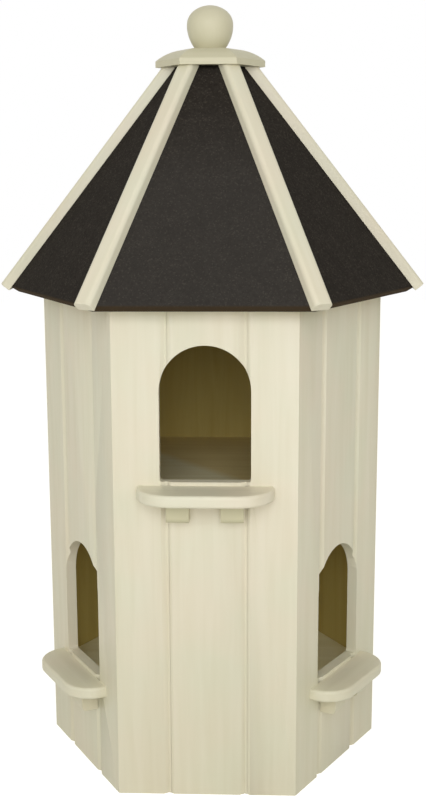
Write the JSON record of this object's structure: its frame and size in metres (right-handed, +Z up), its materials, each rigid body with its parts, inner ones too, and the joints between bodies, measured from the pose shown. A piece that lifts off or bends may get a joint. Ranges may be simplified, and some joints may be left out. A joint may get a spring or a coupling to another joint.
{
  "type": "wooden dovecote",
  "caption": "Hexagonal painted timber dovecote with three arched pop holes, rounded ledges on blocks and a steep felted roof with hip battens, cap and ball finial.",
  "frame": {"origin": "centre of the base, on the ground", "axes": "+Z up the centre line, -Y out of the front wall, +X to the right seen from the front"},
  "size_m": [0.6112, 0.539, 1.0764],
  "materials": {
    "painted_timber": "satin cream paint",
    "floor_board": "plain board",
    "roof_boarding": "plain board",
    "roof_felt": "mineral-faced bitumen felt"
  },
  "bodies": {
    "root": {"upper_floor": "floor_board", "lower_floor": "floor_board", "roof_cap": "painted_timber", "finial": "painted_timber", "wall_front": "painted_timber", "roof_board_front": "roof_boarding", "roof_felt_front": "roof_felt", "ledge_front": "painted_timber", "ledge_blocks_front": "painted_timber", "wall_front_right": "painted_timber", "roof_board_front_right": "roof_boarding", "roof_felt_front_right": "roof_felt", "ledge_front_right": "painted_timber", "ledge_blocks_front_right": "painted_timber", "wall_back_right": "painted_timber", "roof_board_back_right": "roof_boarding", "roof_felt_back_right": "roof_felt", "wall_back": "painted_timber", "roof_board_back": "roof_boarding", "roof_felt_back": "roof_felt", "wall_back_left": "painted_timber", "roof_board_back_left": "roof_boarding", "roof_felt_back_left": "roof_felt", "wall_front_left": "painted_timber", "roof_board_front_left": "roof_boarding", "roof_felt_front_left": "roof_felt", "ledge_front_left": "painted_timber", "ledge_blocks_front_left": "painted_timber", "hip_batten_front_right": "painted_timber", "hip_batten_right": "painted_timber", "hip_batten_back_right": "painted_timber", "hip_batten_back_left": "painted_timber", "hip_batten_left": "painted_timber", "hip_batten_front_left": "painted_timber"}
  },
  "joints": []
}
